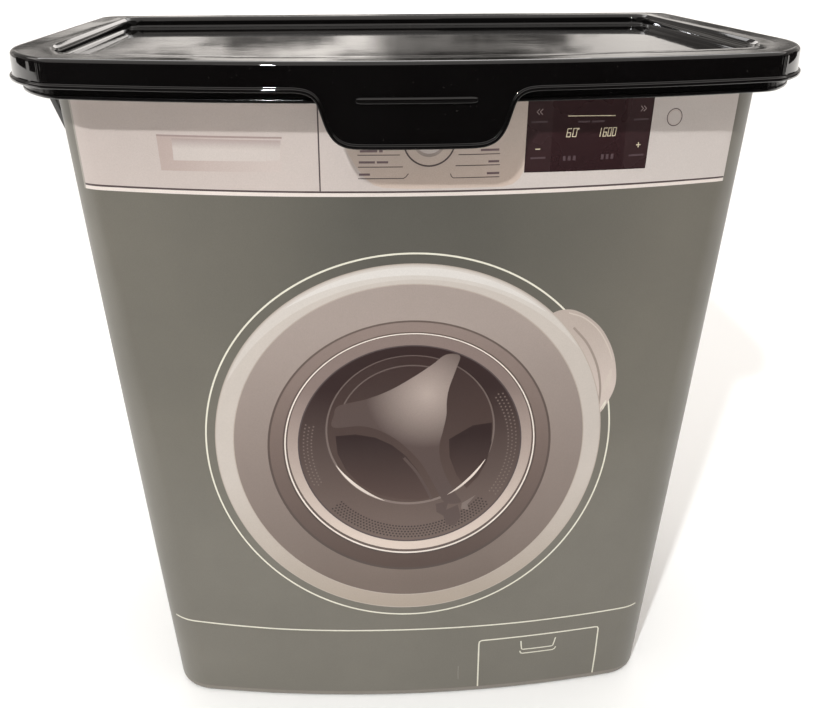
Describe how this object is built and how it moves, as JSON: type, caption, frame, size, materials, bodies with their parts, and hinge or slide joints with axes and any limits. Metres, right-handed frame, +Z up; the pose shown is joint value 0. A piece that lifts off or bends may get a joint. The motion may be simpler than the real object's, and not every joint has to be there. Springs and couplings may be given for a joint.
{
  "type": "laundry powder box",
  "caption": "Tapered plastic storage tub with a printed bowed front, pressed-on rim frame, hinged flap lid with a pull tab, and a rear-hanging carry bail.",
  "frame": {"origin": "middle of the tub's base, on the surface it stands on", "axes": "+Z up, -Y towards the printed front, +X to the right seen from the front"},
  "size_m": [0.288, 0.2402, 0.2691],
  "materials": {
    "tub_plastic": "grey moulded plastic with a satin in-mould label on the front",
    "frame_black": "black gloss moulded plastic",
    "lid_black": "black gloss moulded plastic",
    "handle_black": "black moulded plastic"
  },
  "bodies": {
    "body": {"tub": "tub_plastic", "rim_frame": "frame_black"},
    "lid": {"lid": "lid_black"},
    "handle": {"carry_handle": "handle_black"}
  },
  "joints": [
    {"name": "lid_hinge", "type": "hinge", "parent": "body", "child": "lid", "pos_m": [0, 0.1185, 0.2562], "axis": [-1, 0, 0], "range_deg": [0, 110]},
    {"name": "handle_pivot", "type": "hinge", "parent": "body", "child": "handle", "pos_m": [0, 0.004, 0.2512], "axis": [1, 0, 0], "range_deg": [0, 250]}
  ]
}
